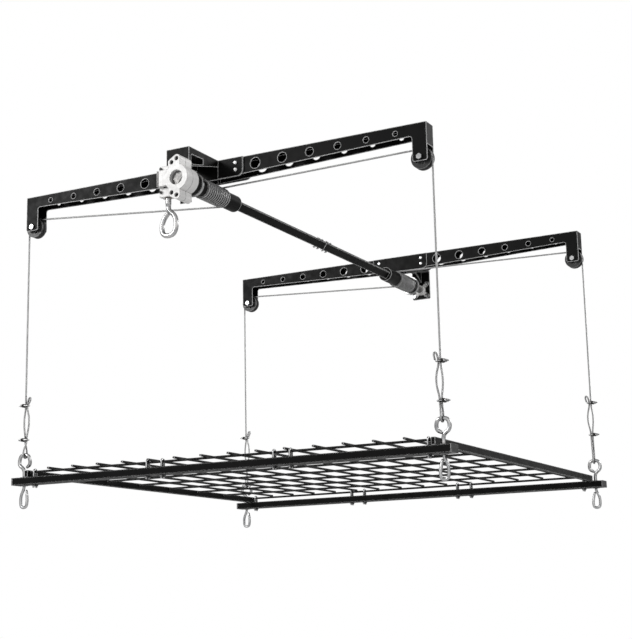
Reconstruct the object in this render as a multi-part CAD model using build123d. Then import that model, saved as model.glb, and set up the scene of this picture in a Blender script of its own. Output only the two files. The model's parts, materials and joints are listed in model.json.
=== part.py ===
from build123d import *

import math
import os

# A ceiling-mounted cable lift: two cross-beams carry four pulleys and a cranked drive line, and four
# cables hang a square wire deck on two rectangular bars.
#
# Millimetres. The origin is the centre of the four ceiling bolt holes, in the plane of the beam tops.
# +Z is up into the ceiling, +X runs along the beams and +Y runs along the drive line, from the
# gearbox to the rear bearing.

# Cross-beams
BEAM_Y = 556.0  # the beams, the cables and the deck bars lie at y = -BEAM_Y and y = +BEAM_Y
BEAM_HALF = 578.5
BEAM_WIDTH = 38.0
SHEET = 2.0
ARM_START = 3.0
ARM_INNER_HEIGHT = 46.0
ARM_OUTER_HEIGHT = 30.0
LEG_WIDTH = 37.0
LEG_DEPTH = 92.0
LIGHTENING_HOLES = {125: 27.0, 200: 24.5, 275: 21.0, 350: 17.5, 425: 14.5, 500: 12.0}  # x: diameter
CEILING_HOLE_X = 304.8
CEILING_HOLE_RADIUS = 4.5
SLEEVE_HALF = 92.0
SLEEVE_HEIGHT = 48.0
SLEEVE_CORNER = 15.0
RIVET_X = 72.0
RIVET_Z = (-14.0, -32.0)
RIVET_RADIUS = 3.0

# Pulleys and cable
CABLE_RADIUS = 2.4
PULLEY_X = 559.0
PULLEY_Z = -82.0
PULLEY_RADIUS = 26.0
PULLEY_LINE_RADIUS = 24.0  # from the pulley's axis to the cable's centre
PULLEY_HALF_WIDTH = 9.0
AXLE_RADIUS = 4.0
CABLE_X = PULLEY_X + PULLEY_LINE_RADIUS

# Drive line
SHAFT_X = 18.0
SHAFT_Z = -90.0
TUBE_SIDE = 22.0
TUBE_WALL = 2.0
TUBE_CORNER = 1.2
TUBE_TURN = 36.7  # degrees that the square tube stands turned about its own axis
TUBE_JOINT_Y = -27.0
DRUM_RADIUS = 21.5
DRUM_LINE_RADIUS = 22.5  # from the shaft's axis to the centre of the wound cable
DRUM_PITCH = 8.3
DRUM_TURNS = 12
COLLAR_RADIUS = 21.0
FLANGE_RADIUS = 29.0
FRONT_DRUM_Y = -648.0  # first turn of cable on each drum
REAR_DRUM_Y = 461.0

# Gearbox
GEARBOX_FRONT_Y = -760.0
GEARBOX_SEAM_Y = -735.0
GEARBOX_REAR_Y = -710.0
STUB_SIDE = 17.9
WHEEL_TEETH = 13
WHEEL_RADIUS = 25.0  # pitch radius
WORM_OFFSET = 35.5
WORM_LEAD = 2 * math.pi * WHEEL_RADIUS / WHEEL_TEETH
WORM_X = SHAFT_X - WORM_OFFSET

# Deck
BAR_HALF = 609.6
BAR_DEPTH = 38.0
BAR_HEIGHT = 19.0
BAR_TOP = -741.6
WIRE_RADIUS = 3.0
CROSS_WIRE_Z = BAR_TOP + 13.5
LONG_WIRE_Z = CROSS_WIRE_Z + 2 * WIRE_RADIUS + 0.1
RAIL_X = (560.0, 570.0)
RAIL_HALF = 572.0
CROSS_WIRE_Y = (76.2, 228.6, 381.0, BEAM_Y)
WIRE_PITCH = 76.2
U_BOLT_X = (156.0, 200.0, 548.0)
U_BOLT_RADIUS = 2.5

# Hooks and cable clips, measured up from the top of a deck bar
HOOK_RADIUS = 4.5
HOOK_EYE_ROD = 4.3
HOOK_SHOULDER = 5.2
HOOK_LOOP_ROD = 3.6
EYE_TOP = 58.5  # centre of the eye's rod at its top
CLIPS = {"front_left": (187.0, 98.0), "front_right": (187.0, 98.0),
         "rear_left": (212.0, 118.0), "rear_right": (227.0, 134.0)}
CABLE_END_RISE = 24.0  # from the upper clip to where the free cable starts

# Gearbox bracket and rear bearing bracket
BRACKET_SHEET = 2.5
BRACKET_LEFT, BRACKET_RIGHT = -42.0, 22.0
BRACKET_HEIGHT = 50.0
WALL_REAR_HEIGHT = 16.0  # the side walls taper towards the beam
WINDOW_CORNERS = [(10, -17.5), (64, -15.5), (64, -29.5), (10, -42)]  # in the right wall: (depth, height)
FLANGE_Y = -BEAM_Y - BEAM_WIDTH / 2 - SHEET
EAR_HOLES = [(1.5, 46.0), (-12.5, 38.0), (1.5, -43.5), (-12.5, -36.0)]  # from the shaft's axis: x, z
EAR_HOLE_RADIUS = 3.2
BEARING_PLATE_Y = 655.0
BEARING_PLATE_SHEET = 3.0
BEARING_PLATE_DROP = 28.5  # below the shaft's axis
BEARING_BOLTS = [(x, z) for x in (-20.8, 20.8) for z in (-18.5, 21.0)]
BEARING_BOLT_RADIUS = 3.0
REAR_SHELF_Z = -30.0
REAR_TAB_RIVETS_X = (12.0, 38.0)
REAR_TAB_RIVET_Z = -16.0

# Worm, its chamber in the cast halves and the crank eye
LUG_SCREW_Z = (29.0, -28.0)
WORM_Y = -738.0  # the worm and the wheel's teeth are centred at this depth
WORM_CHAMBER = (-18.0, 20.0)  # from the shaft's axis: bottom and top
WORM_BUSH_RADIUS = 8.0
LUG_REACH = 12.0
CRANK_ROD_RADIUS = 5.6
CRANK_STEM_TOP = SHAFT_Z - 40.2
CRANK_EYE_BOTTOM = -228.0

# Pieces along the square tube, as depths along Y
HUB_START = -706.0
FRONT_FLANGE = (-688.0, -680.0)
FRONT_COLLAR_END = -497.0
REAR_COLLAR_START = 384.0
REAR_FLANGE = (567.0, 575.0)
AXLE_STUB_RADIUS = 9.9
COUPLER_BOLT_OFFSETS = (-34.0, -14.0, 14.0, 34.0)
COUPLER_BOLT_RADIUS = 2.5
DRUM_CLEARANCE = 17.0  # from the drum's axis, where a straight cable has left the wound turns

# Cable clips
CLIP_SPACING = 5.0  # between the two stretches of cable in a clip
CLIP_ROD_RADIUS = 1.8
CLIP_LEG_Y = CABLE_RADIUS + CLIP_ROD_RADIUS + 0.1

# Fixings of the deck
HOOK_HOLE_RADIUS = HOOK_RADIUS + 0.6
CAP_THICKNESS = 2.0
U_BOLT_LEG_Y = WIRE_RADIUS + U_BOLT_RADIUS + 0.3
U_BOLT_TOP = CROSS_WIRE_Z + WIRE_RADIUS + U_BOLT_RADIUS + 0.3

CORNERS = {"front_left": (-1, -1), "front_right": (1, -1), "rear_left": (-1, 1), "rear_right": (1, 1)}


def save(name, shapes):
    """Writes one node, from one solid or a list of separate ones."""
    solids = shapes if isinstance(shapes, list) else [shapes]
    parts = [solid for shape in solids for solid in shape.solids()]
    export_step(parts[0] if len(parts) == 1 else Compound(children=parts), f"parts/{name}.step")


def block(x, y, z):
    """A box between pairs of coordinates."""
    low, high = [min(pair) for pair in (x, y, z)], [max(pair) for pair in (x, y, z)]
    centre = [(a + b) / 2 for a, b in zip(low, high)]
    return Pos(*centre) * Box(*[b - a for a, b in zip(low, high)])


def rod(start, end, radius):
    """A round bar between two points."""
    line = Vector(*end) - Vector(*start)
    return extrude(Plane(origin=start, z_dir=line) * Circle(radius), amount=line.length)


def prism(start, end, sketch, turn=0.0):
    """A bar along Y between two depths on the shaft's axis, with the sketch as its section."""
    plane = Plane(origin=(SHAFT_X, start, SHAFT_Z), x_dir=(1, 0, 0), z_dir=(0, 1, 0))
    return extrude(plane * Rot(Z=turn) * sketch, amount=end - start)


def disc(start, end, radius):
    """A round piece on the shaft's axis between two depths."""
    return rod((SHAFT_X, start, SHAFT_Z), (SHAFT_X, end, SHAFT_Z), radius)


def hexagon(start, end, radius):
    """A hexagonal bolt head or nut between two points."""
    line = Vector(*end) - Vector(*start)
    return extrude(Plane(origin=start, z_dir=line) * RegularPolygon(radius, 6), amount=line.length)


def round_along_y(solid, spots, radius):
    """Rounds the edges along Y that stand at the given (x, z) spots."""
    edges = [edge for edge in solid.edges().filter_by(Axis.Y)
             if any(math.hypot(edge.center().X - x, edge.center().Z - z) < 0.1 for x, z in spots)]
    return fillet(edges, radius)


def bent_rod(points, radii, radius):
    """A round rod along straight runs joined by tangent arcs."""
    path = FilletPolyline(*points, radius=radii)
    first = Vector(*points[1]) - Vector(*points[0])
    return sweep(Plane(origin=points[0], z_dir=first) * Circle(radius), path=path)


def closed_rod(outline, radii, radius):
    """A round rod bent into a closed loop, from (x, z) corners in the plane y = 0."""
    path = FilletPolyline(*[(x, 0, z) for x, z in outline], radius=radii, close=True)
    section = Plane(origin=path @ 0, z_dir=path % 0) * Circle(radius)
    return sweep(section, path=path, transition=Transition.ROUND)


def hull_of(circles):
    """The flat outline stretched round some circles, given as (x, y, radius)."""
    edges = [edge for x, y, radius in circles for edge in (Pos(x, y) * Circle(radius)).edges()]
    return make_hull(edges)


# ---------------------------------------------------------------- cross-beams

def arm_height(x):
    """Height of an arm's side walls at a distance from the middle."""
    share = (x - ARM_START) / (BEAM_HALF - LEG_WIDTH - ARM_START)
    return ARM_INNER_HEIGHT + (ARM_OUTER_HEIGHT - ARM_INNER_HEIGHT) * share


def right_arm():
    """One tapered arm, an open channel with a leg at its outer end, on y = 0."""
    leg_x = BEAM_HALF - LEG_WIDTH
    outline = [(ARM_START, 0), (BEAM_HALF, 0), (BEAM_HALF, -LEG_DEPTH), (leg_x, -LEG_DEPTH),
               (leg_x, -ARM_OUTER_HEIGHT), (ARM_START, -ARM_INNER_HEIGHT)]
    face = make_face(Plane.XZ * Polyline(*outline, close=True))
    arm = extrude(face, amount=BEAM_WIDTH / 2, both=True)
    arm = round_along_y(arm, [(BEAM_HALF, -LEG_DEPTH), (leg_x, -LEG_DEPTH)], 5)
    arm = round_along_y(arm, [(leg_x, -ARM_OUTER_HEIGHT)], 7)
    inside = BEAM_WIDTH / 2 - SHEET
    arm -= block((ARM_START - 1, BEAM_HALF - SHEET), (-inside, inside), (-LEG_DEPTH - 1, -SHEET))
    pulley_top = PULLEY_Z + PULLEY_RADIUS + 3
    arm -= block((BEAM_HALF - SHEET - 1, BEAM_HALF + 1), (-inside, inside), (-LEG_DEPTH - 1, pulley_top))
    arm -= block((ARM_START - 1, SLEEVE_HALF), (-BEAM_WIDTH, BEAM_WIDTH), (-SHEET, 1))
    for x, diameter in LIGHTENING_HOLES.items():
        z = -arm_height(x) / 2 - 1
        arm -= rod((x, -BEAM_WIDTH, z), (x, BEAM_WIDTH, z), diameter / 2)
    for z in RIVET_Z:
        arm -= rod((RIVET_X, -BEAM_WIDTH, z), (RIVET_X, BEAM_WIDTH, z), RIVET_RADIUS)
    arm -= rod((PULLEY_X, -BEAM_WIDTH, PULLEY_Z), (PULLEY_X, BEAM_WIDTH, PULLEY_Z), AXLE_RADIUS + 0.1)
    arm -= rod((CEILING_HOLE_X, 0, -SHEET - 1), (CEILING_HOLE_X, 0, 1), CEILING_HOLE_RADIUS)
    return arm


def mid_channel():
    """The channel that is riveted over the inner ends of both arms, on y = 0."""
    half = BEAM_WIDTH / 2 + SHEET
    channel = block((-SLEEVE_HALF, SLEEVE_HALF), (-half, half), (-SLEEVE_HEIGHT, 0))
    corners = [(-SLEEVE_HALF, -SLEEVE_HEIGHT), (SLEEVE_HALF, -SLEEVE_HEIGHT)]
    channel = round_along_y(channel, corners, SLEEVE_CORNER)
    channel -= block((-SLEEVE_HALF - 1, SLEEVE_HALF + 1), (SHEET - half, half - SHEET),
                     (-SLEEVE_HEIGHT - 1, -SHEET))
    for x in (-RIVET_X, RIVET_X):
        for z in RIVET_Z:
            channel -= rod((x, -half - 1, z), (x, half + 1, z), RIVET_RADIUS)
    return channel


def rivet(x, z, inner_y, outer_y):
    """A domed rivet along Y, with its dome at outer_y."""
    out = 1 if outer_y > inner_y else -1
    dome = fillet(rod((x, outer_y, z), (x, outer_y + 3 * out, z), 5.5).edges().group_by(Axis.Y)[
        -1 if out > 0 else 0], 2.4)
    tail = rod((x, inner_y - 1.5 * out, z), (x, inner_y, z), 4.5)
    return dome + rod((x, inner_y, z), (x, outer_y, z), RIVET_RADIUS - 0.05) + tail


def frame_rivets():
    """Sixteen rivets that join the arms, the mid channels and the gearbox bracket."""
    inner, outer = BEAM_WIDTH / 2 - SHEET, BEAM_WIDTH / 2 + SHEET
    rivets = []
    for beam in (-BEAM_Y, BEAM_Y):
        for x in (-RIVET_X, RIVET_X):
            for z in RIVET_Z:
                flange = BRACKET_SHEET if beam < 0 else 0
                rivets.append(rivet(x, z, beam - inner, beam - outer - flange))
                rivets.append(rivet(x, z, beam + inner, beam + outer))
    return rivets


# ---------------------------------------------------------------- brackets


def gearbox_bracket():
    """The folded hat bracket, closed on top, that holds the gearbox out in front of the front beam."""
    front = (GEARBOX_REAR_Y, GEARBOX_REAR_Y + BRACKET_SHEET)
    plate = block((BRACKET_LEFT, BRACKET_RIGHT), front, (-BRACKET_HEIGHT, 0))
    tongue = block((SHAFT_X - 21, SHAFT_X + 10), front, (SHAFT_Z - 50, -BRACKET_HEIGHT + 5))
    bracket = plate + tongue
    bracket += block((BRACKET_LEFT, BRACKET_RIGHT), (GEARBOX_REAR_Y, FLANGE_Y), (-BRACKET_SHEET, 0))
    wall = [(GEARBOX_REAR_Y, 0), (FLANGE_Y, 0), (FLANGE_Y, -WALL_REAR_HEIGHT),
            (GEARBOX_REAR_Y, -BRACKET_HEIGHT)]
    for x in (BRACKET_LEFT, BRACKET_RIGHT - BRACKET_SHEET):
        bracket += extrude(Plane.YZ.offset(x) * make_face(Polyline(*wall, close=True)), BRACKET_SHEET)
    outline = [(GEARBOX_REAR_Y + y, z) for y, z in WINDOW_CORNERS]
    window = extrude(Plane.YZ.offset(BRACKET_RIGHT - 5) * make_face(Polyline(*outline, close=True)), 10)
    bracket -= fillet(window.edges().filter_by(Axis.X), 2.5)
    for low, high in ((-SLEEVE_HALF, BRACKET_LEFT + 1), (BRACKET_RIGHT - 1, SLEEVE_HALF)):
        flange = block((low, high), (FLANGE_Y - BRACKET_SHEET, FLANGE_Y), (-SLEEVE_HEIGHT, 0))
        end = low if low == -SLEEVE_HALF else high
        bracket += round_along_y(flange, [(end, -SLEEVE_HEIGHT)], SLEEVE_CORNER)
    for x in (-RIVET_X, RIVET_X):
        for z in RIVET_Z:
            bracket -= rod((x, FLANGE_Y - 5, z), (x, FLANGE_Y + 5, z), RIVET_RADIUS)
    bracket -= disc(GEARBOX_REAR_Y - 1, GEARBOX_REAR_Y + BRACKET_SHEET + 1, 19)
    for x, z in EAR_HOLES:
        start = (SHAFT_X + x, GEARBOX_REAR_Y - 1, SHAFT_Z + z)
        bracket -= rod(start, (start[0], start[1] + 5, start[2]), EAR_HOLE_RADIUS)
    return bracket


def rear_bearing_bracket():
    """The folded plate behind the rear beam that carries the rear bearing."""
    x = (SHAFT_X - 30, SHAFT_X + 30)
    wall = BEAM_Y + BEAM_WIDTH / 2 + SHEET
    back = BEARING_PLATE_Y + BEARING_PLATE_SHEET
    low = SHAFT_Z - BEARING_PLATE_DROP
    bracket = block(x, (BEARING_PLATE_Y, back), (low, REAR_SHELF_Z + BRACKET_SHEET))
    bracket = round_along_y(bracket, [(x[0], low), (x[1], low)], 4)
    bracket += block(x, (wall, back), (REAR_SHELF_Z, REAR_SHELF_Z + BRACKET_SHEET))
    bracket += block(x, (wall, wall + BRACKET_SHEET), (REAR_SHELF_Z, -4))
    gusset = [(wall + 20, REAR_SHELF_Z), (BEARING_PLATE_Y, REAR_SHELF_Z), (BEARING_PLATE_Y, SHAFT_Z + 28)]
    bracket += extrude(Plane.YZ.offset(SHAFT_X) * make_face(Polyline(*gusset, close=True)),
                       amount=1.5, both=True)
    bracket -= disc(BEARING_PLATE_Y - 1, back + 1, 12)
    for dx, dz in BEARING_BOLTS:
        spot = (SHAFT_X + dx, BEARING_PLATE_Y - 1, SHAFT_Z + dz)
        bracket -= rod(spot, (spot[0], back + 1, spot[2]), BEARING_BOLT_RADIUS + 0.1)
    for spot in REAR_TAB_RIVETS_X:
        bracket -= rod((spot, wall - 1, REAR_TAB_RIVET_Z), (spot, wall + 5, REAR_TAB_RIVET_Z), RIVET_RADIUS)
    return bracket


# ---------------------------------------------------------------- gearbox

def gearbox_outline():
    """The outline that both cast halves share, round the shaft's axis."""
    upper_ears = hull_of([(1.5, 46, 10), (-12.5, 38, 9.5), (-10, 5, 12), (0, 5, 8)])
    lower_ears = hull_of([(1.5, -43.5, 10), (-12.5, -36, 9.5), (-10, -5, 12), (0, -5, 8)])
    worm_block = Pos(-27, 3.5) * Rectangle(54, 39)
    return Circle(32) + upper_ears + lower_ears + worm_block


def gearbox_half(start, end):
    """One cast half with the outline, the worm's upper and lower lugs and the shared cavities."""
    plane = Plane(origin=(SHAFT_X, end, SHAFT_Z), x_dir=(1, 0, 0), z_dir=(0, -1, 0))
    half = extrude(plane * gearbox_outline(), amount=end - start)
    lug_x = (SHAFT_X - 52, SHAFT_X - 19)
    lug_y = (max(start, WORM_Y - LUG_REACH), min(end, WORM_Y + LUG_REACH))
    half += block(lug_x, lug_y, (SHAFT_Z + 15, SHAFT_Z + 35))
    half += block(lug_x, lug_y, (SHAFT_Z - 40, SHAFT_Z - 14))
    half -= disc(WORM_Y - 5.5, WORM_Y + 5.5, WHEEL_RADIUS + 3.5)
    axis = (WORM_X, WORM_Y)
    low, high = SHAFT_Z + WORM_CHAMBER[0], SHAFT_Z + WORM_CHAMBER[1]
    half -= rod((*axis, low), (*axis, high), 13.6)
    half -= rod((*axis, SHAFT_Z - 41), (*axis, low), WORM_BUSH_RADIUS)
    half -= rod((*axis, high), (*axis, high + 10), WORM_BUSH_RADIUS)
    for x, z in EAR_HOLES:
        spot = (SHAFT_X + x, GEARBOX_FRONT_Y - 1, SHAFT_Z + z)
        half -= rod(spot, (spot[0], GEARBOX_REAR_Y + 1, spot[2]), EAR_HOLE_RADIUS)
        half -= rod(spot, (spot[0], GEARBOX_FRONT_Y + 9, spot[2]), 5.2)
    for z in LUG_SCREW_Z:
        spot = (SHAFT_X - 48, WORM_Y - 20, SHAFT_Z + z)
        half -= rod(spot, (spot[0], WORM_Y + 20, spot[2]), 2.1)
    return half


def gearbox_front_cover():
    """The front half, with the round opening that shows the square drive."""
    cover = gearbox_half(GEARBOX_FRONT_Y, GEARBOX_SEAM_Y)
    cover -= disc(GEARBOX_FRONT_Y - 1, WORM_Y, 17.5)
    edge = [(SHAFT_X - 53, GEARBOX_FRONT_Y), (SHAFT_X - 48, GEARBOX_FRONT_Y),
            (SHAFT_X - 53, GEARBOX_FRONT_Y + 5)]
    bevel = extrude(Plane.XY.offset(SHAFT_Z - 20) * make_face(Polyline(*edge, close=True)), amount=45)
    return cover - bevel


def gearbox_rear_housing():
    """The rear half, with the journal that the worm wheel turns in."""
    return gearbox_half(GEARBOX_SEAM_Y, GEARBOX_REAR_Y) - disc(GEARBOX_SEAM_Y, GEARBOX_REAR_Y + 1, 16.1)


def cap_screw(x, y, z, length, radius, head_radius, head):
    """A socket head screw along +Y whose head stands in front of depth y."""
    screw = rod((x, y - head, z), (x, y, z), head_radius) + rod((x, y, z), (x, y + length, z), radius)
    return screw - hexagon((x, y - head, z), (x, y - head * 0.4, z), head_radius * 0.55)


def gearbox_screws():
    """Four long screws through the ears into the bracket's plate and two short ones through the lugs."""
    screws = []
    seat = GEARBOX_FRONT_Y + 9
    length = GEARBOX_REAR_Y + BRACKET_SHEET + 1 - seat
    for x, z in EAR_HOLES:
        spot = (SHAFT_X + x, SHAFT_Z + z)
        screws.append(cap_screw(spot[0], seat, spot[1], length, 3.0, 4.9, 5))
    for z in LUG_SCREW_Z:
        screws.append(cap_screw(SHAFT_X - 48, WORM_Y - LUG_REACH, SHAFT_Z + z, 24, 2.0, 3.6, 3.5))
    return screws


def worm_bushes():
    """Plain bushes below and above the worm."""
    axis = (WORM_X, WORM_Y)
    low, high = SHAFT_Z + WORM_CHAMBER[0], SHAFT_Z + WORM_CHAMBER[1]
    spans = ((SHAFT_Z - 40, low), (high, high + 10))
    return [rod((*axis, start), (*axis, end), WORM_BUSH_RADIUS) - rod((*axis, start), (*axis, end), 5.05)
            for start, end in spans]


def worm_wheel():
    """Thirteen-tooth wheel with a square bore and a long hub that turns in the rear housing."""
    root, tip = WHEEL_RADIUS - 3.0, WHEEL_RADIUS + 2.2
    face = (WORM_Y - 4.5, WORM_Y + 4.5)
    wheel = disc(*face, root)
    tooth = Polygon((root - 1, -3.0), (tip, -1.6), (tip, 1.6), (root - 1, 3.0), align=None)
    for i in range(WHEEL_TEETH):
        wheel += prism(*face, tooth, 180 + i * 360 / WHEEL_TEETH)
    wheel += disc(GEARBOX_FRONT_Y + 9, WORM_Y, 15.6)
    wheel += disc(WORM_Y, GEARBOX_REAR_Y - 1, 16.0)
    bore = Rectangle(STUB_SIDE + 0.1, STUB_SIDE + 0.1)
    return wheel - prism(GEARBOX_FRONT_Y, GEARBOX_REAR_Y + 1, bore, TUBE_TURN)


def worm():
    """Right-hand single-start worm on its own spindle."""
    axis = (WORM_X, WORM_Y)
    spindle = rod((*axis, SHAFT_Z - 42), (*axis, SHAFT_Z + 29), 5.0)
    core = rod((*axis, SHAFT_Z + WORM_CHAMBER[0] + 0.5), (*axis, SHAFT_Z + WORM_CHAMBER[1] - 0.5), 7.0)
    low = -1.5 * WORM_LEAD
    helix = Pos(0, 0, low) * Helix(pitch=WORM_LEAD, height=3 * WORM_LEAD, radius=6.5)
    section = Plane(origin=helix @ 0, x_dir=(1, 0, 0), z_dir=helix % 0) * Pos(2.9, 0) * Rectangle(5.8, 3.2)
    thread = sweep(section, path=helix, is_frenet=True)
    thread &= Pos(0, 0, 1) * Cylinder(20, 2 * 17.0)
    return spindle + core + Pos(*axis, SHAFT_Z) * thread


def crank_eye():
    """The forged eye below the gearbox that the long crank hooks into."""
    axis = (WORM_X, WORM_Y)
    neck = CRANK_STEM_TOP - 30
    stem = rod((*axis, CRANK_STEM_TOP), (*axis, neck - 4), 7.0) + Pos(*axis, neck - 4) * Sphere(7.0)
    stem -= rod((*axis, CRANK_STEM_TOP + 1), (*axis, SHAFT_Z - 42), 5.0)
    low = CRANK_EYE_BOTTOM + CRANK_ROD_RADIUS
    outline = [(0, neck + 4), (19, neck - 32), (16, low), (-16, low), (-19, neck - 32)]
    loop = closed_rod(outline, [9, 28, 15.5, 15.5, 28], CRANK_ROD_RADIUS)
    return stem + Pos(WORM_X, WORM_Y, 0) * loop


# ---------------------------------------------------------------- drive line


def square_tube(start, end):
    """A stretch of square tube on the shaft's axis."""
    inside = TUBE_SIDE - 2 * TUBE_WALL + 0.1
    section = RectangleRounded(TUBE_SIDE, TUBE_SIDE, TUBE_CORNER) - Rectangle(inside, inside)
    return prism(start, end, section, TUBE_TURN)


def drum(start, end, first_turn):
    """A drum that slides on the square tube, with a round groove for each turn of cable."""
    last_turn = first_turn + (DRUM_TURNS - 1) * DRUM_PITCH
    profile = Pos((start + end) / 2, COLLAR_RADIUS / 2) * Rectangle(end - start, COLLAR_RADIUS)
    land = (first_turn - DRUM_PITCH / 2, last_turn + DRUM_PITCH / 2)
    profile += Pos(sum(land) / 2, DRUM_RADIUS / 2) * Rectangle(land[1] - land[0], DRUM_RADIUS)
    for i in range(DRUM_TURNS):
        profile -= Pos(first_turn + i * DRUM_PITCH, DRUM_LINE_RADIUS) * Circle(CABLE_RADIUS + 0.15)
    plane = Plane(origin=(SHAFT_X, 0, SHAFT_Z), x_dir=(0, 1, 0), z_dir=(1, 0, 0))
    barrel = revolve(plane * profile, Axis((SHAFT_X, 0, SHAFT_Z), (0, 1, 0)))
    bore = RectangleRounded(TUBE_SIDE + 0.1, TUBE_SIDE + 0.1, TUBE_CORNER)
    return barrel - prism(start - 1, end + 1, bore, TUBE_TURN)


def cable_turn(y, radius):
    """One closed turn of cable round the shaft's axis."""
    return Pos(SHAFT_X, y, SHAFT_Z) * Rot(X=90) * Torus(DRUM_LINE_RADIUS, radius)


def wound_cable(first_turn):
    """The turns of cable on one drum."""
    return [cable_turn(first_turn + i * DRUM_PITCH, CABLE_RADIUS) for i in range(DRUM_TURNS)]


def ring(start, end, radius):
    """A round ring on the square tube."""
    bore = RectangleRounded(TUBE_SIDE + 0.1, TUBE_SIDE + 0.1, TUBE_CORNER)
    body = disc(start, end, radius)
    body = chamfer(body.edges().filter_by(GeomType.CIRCLE), 0.8)
    return body - prism(start - 1, end + 1, bore, TUBE_TURN)


def rear_axle():
    """The square plug in the rear tube with the round journal for the rear bearing."""
    plug = prism(545, 600, Rectangle(STUB_SIDE, STUB_SIDE), TUBE_TURN)
    return plug + disc(600, BEARING_PLATE_Y + 9, AXLE_STUB_RADIUS)


def snap_ring():
    """The ring that keeps the rear axle in its bearing."""
    start = BEARING_PLATE_Y + BEARING_PLATE_SHEET + 2
    return disc(start, start + 1.5, 13) - disc(start, start + 1.5, AXLE_STUB_RADIUS)


def rear_bearing():
    """The plain bearing whose four arms are bolted to the rear bracket."""
    plane = Plane(origin=(SHAFT_X, BEARING_PLATE_Y, SHAFT_Z), x_dir=(1, 0, 0), z_dir=(0, -1, 0))
    outline = Circle(16)
    for x, z in BEARING_BOLTS:
        outline += hull_of([(x, z, 7), (0, 0, 5)])
    body = extrude(plane * outline, amount=4) + disc(BEARING_PLATE_Y - 16, BEARING_PLATE_Y, 15)
    for x, z in BEARING_BOLTS:
        spot = (SHAFT_X + x, BEARING_PLATE_Y - 5, SHAFT_Z + z)
        body -= rod(spot, (spot[0], BEARING_PLATE_Y + 1, spot[2]), BEARING_BOLT_RADIUS + 0.1)
    return body - disc(BEARING_PLATE_Y - 17, BEARING_PLATE_Y + 1, AXLE_STUB_RADIUS + 0.08)


def rear_bearing_bolts():
    """Four bolts through the rear bearing, each with its nut behind the plate."""
    pieces = []
    face = BEARING_PLATE_Y - 4
    back = BEARING_PLATE_Y + BEARING_PLATE_SHEET
    for dx, dz in BEARING_BOLTS:
        x, z = SHAFT_X + dx, SHAFT_Z + dz
        washer = rod((x, face - 1, z), (x, face, z), 7)
        bolt = hexagon((x, face - 5, z), (x, face - 1, z), 5.8) + washer
        pieces.append(bolt + rod((x, face, z), (x, back + 7, z), BEARING_BOLT_RADIUS))
        nut = hexagon((x, back, z), (x, back + 4.5, z), 5.8)
        pieces.append(nut - rod((x, back, z), (x, back + 4.5, z), BEARING_BOLT_RADIUS + 0.02))
    return pieces


def rear_bracket_rivets():
    """Two rivets that hold the rear bearing bracket to the rear mid channel."""
    wall = BEAM_Y + BEAM_WIDTH / 2 + SHEET
    return [rivet(x, REAR_TAB_RIVET_Z, wall - 2 * SHEET, wall + BRACKET_SHEET) for x in REAR_TAB_RIVETS_X]


def across_tube(y, low, high, radius):
    """A round bar square through the tube's flat sides, at depth y."""
    turn = math.radians(TUBE_TURN)
    spot = [(SHAFT_X + reach * math.sin(turn), y, SHAFT_Z + reach * math.cos(turn)) for reach in (low, high)]
    return rod(*spot, radius)


def coupler_holes():
    """The holes that the coupler bolts pass through."""
    return [across_tube(TUBE_JOINT_Y + offset, -20, 20, COUPLER_BOLT_RADIUS + 0.05)
            for offset in COUPLER_BOLT_OFFSETS]


def coupler_bolts():
    """Four bolts through the tube and its inner coupler, with their nuts."""
    side = TUBE_SIDE / 2
    pieces = []
    for offset in COUPLER_BOLT_OFFSETS:
        y = TUBE_JOINT_Y + offset
        pieces.append(across_tube(y, -side - 6, side, COUPLER_BOLT_RADIUS)
                      + across_tube(y, side, side + 3.2, 4.4))
        nut = across_tube(y, -side - 4, -side, 4.4)
        pieces.append(nut - across_tube(y, -side - 7, side, COUPLER_BOLT_RADIUS + 0.02))
    return pieces


# ---------------------------------------------------------------- pulleys and cables

def pulley(side, end):
    """A grooved wheel that runs on the axle bolt in an arm's leg."""
    bottom = PULLEY_LINE_RADIUS - CABLE_RADIUS - 0.4
    half, groove, flank = PULLEY_HALF_WIDTH, 5.5, 2.8
    outline = [(AXLE_RADIUS + 0.06, -half), (PULLEY_RADIUS, -half), (PULLEY_RADIUS, -groove),
               (bottom, -flank), (bottom, flank), (PULLEY_RADIUS, groove), (PULLEY_RADIUS, half),
               (AXLE_RADIUS + 0.06, half)]
    face = make_face(Polyline(*[(r, y, 0) for r, y in outline], close=True))
    wheel = revolve(face, Axis.Y)
    for i in range(5):
        wheel -= Rot(Y=i * 72) * rod((14, -half - 1, 0), (14, half + 1, 0), 3.6)
    boss = rod((0, -half - 6, 0), (0, half + 6, 0), 7) - rod((0, -half - 7, 0), (0, half + 7, 0),
                                                           AXLE_RADIUS + 0.06)
    return Pos(side * PULLEY_X, end * BEAM_Y, PULLEY_Z) * (wheel + boss)


def pulley_axles():
    """Four hexagon bolts, one through each leg."""
    bolts = []
    half = BEAM_WIDTH / 2
    for side, end in CORNERS.values():
        x, y, z = side * PULLEY_X, end * BEAM_Y, PULLEY_Z
        shank = rod((x, y - half, z), (x, y + half + 9, z), AXLE_RADIUS)
        bolts.append(shank + hexagon((x, y - half - 5, z), (x, y - half, z), 7.4))
    return bolts


def pulley_nuts():
    """The nuts on the four axle bolts."""
    nuts = []
    for side, end in CORNERS.values():
        x, y, z = side * PULLEY_X, end * BEAM_Y + BEAM_WIDTH / 2, PULLEY_Z
        nut = hexagon((x, y, z), (x, y + 6.5, z), 7.4)
        nuts.append(nut - rod((x, y, z), (x, y + 6.5, z), AXLE_RADIUS + 0.02))
    return nuts


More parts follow.
